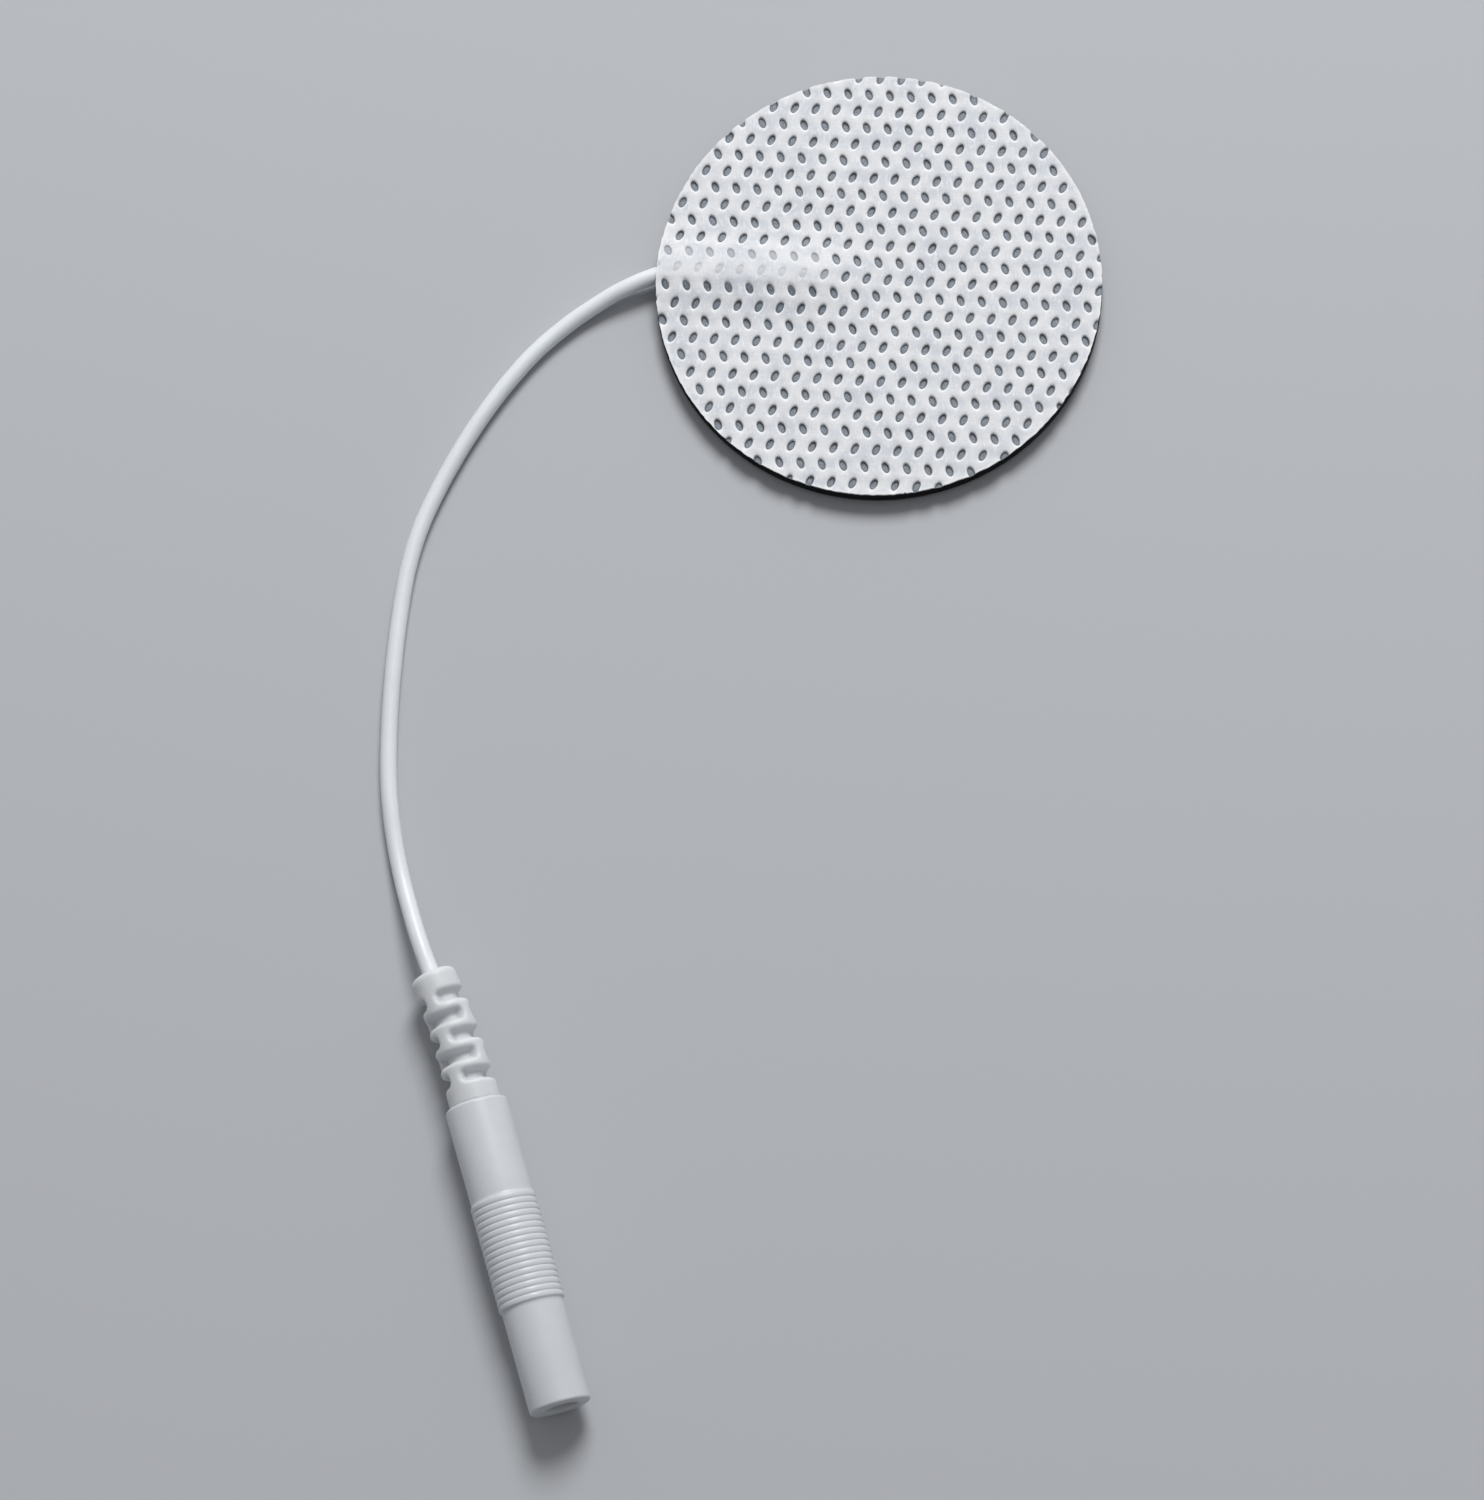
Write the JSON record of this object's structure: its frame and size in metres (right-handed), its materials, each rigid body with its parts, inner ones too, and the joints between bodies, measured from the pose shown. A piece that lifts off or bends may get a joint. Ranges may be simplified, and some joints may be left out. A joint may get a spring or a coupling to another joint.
{
  "type": "tens electrode pad",
  "caption": "Round white self-adhesive electrode pad with a short white lead and a ribbed pin socket.",
  "frame": {"origin": "centre of the gel face that lies on the skin", "axes": "+Z out of the backing fabric, -X towards where the lead leaves the pad"},
  "size_m": [0.0492, 0.0995, 0.0046],
  "materials": {
    "backing_fabric": "white non-woven with grey pressed bond points",
    "conductive_film": "black carbon-filled film",
    "hydrogel": "glossy clear gel over black film",
    "conductor": "tinned copper strands",
    "lead_jacket": "satin white jacket",
    "moulded_plastic": "satin white moulding",
    "contact": "nickel-plated"
  },
  "bodies": {
    "root": {"backing_fabric": "backing_fabric", "conductive_film": "conductive_film", "hydrogel": "hydrogel", "conductor_fan": "conductor", "lead_wire": "lead_jacket", "strain_relief": "moulded_plastic", "connector_sleeve": "moulded_plastic", "socket_contact": "contact", "crimped_core": "conductor"}
  },
  "joints": []
}
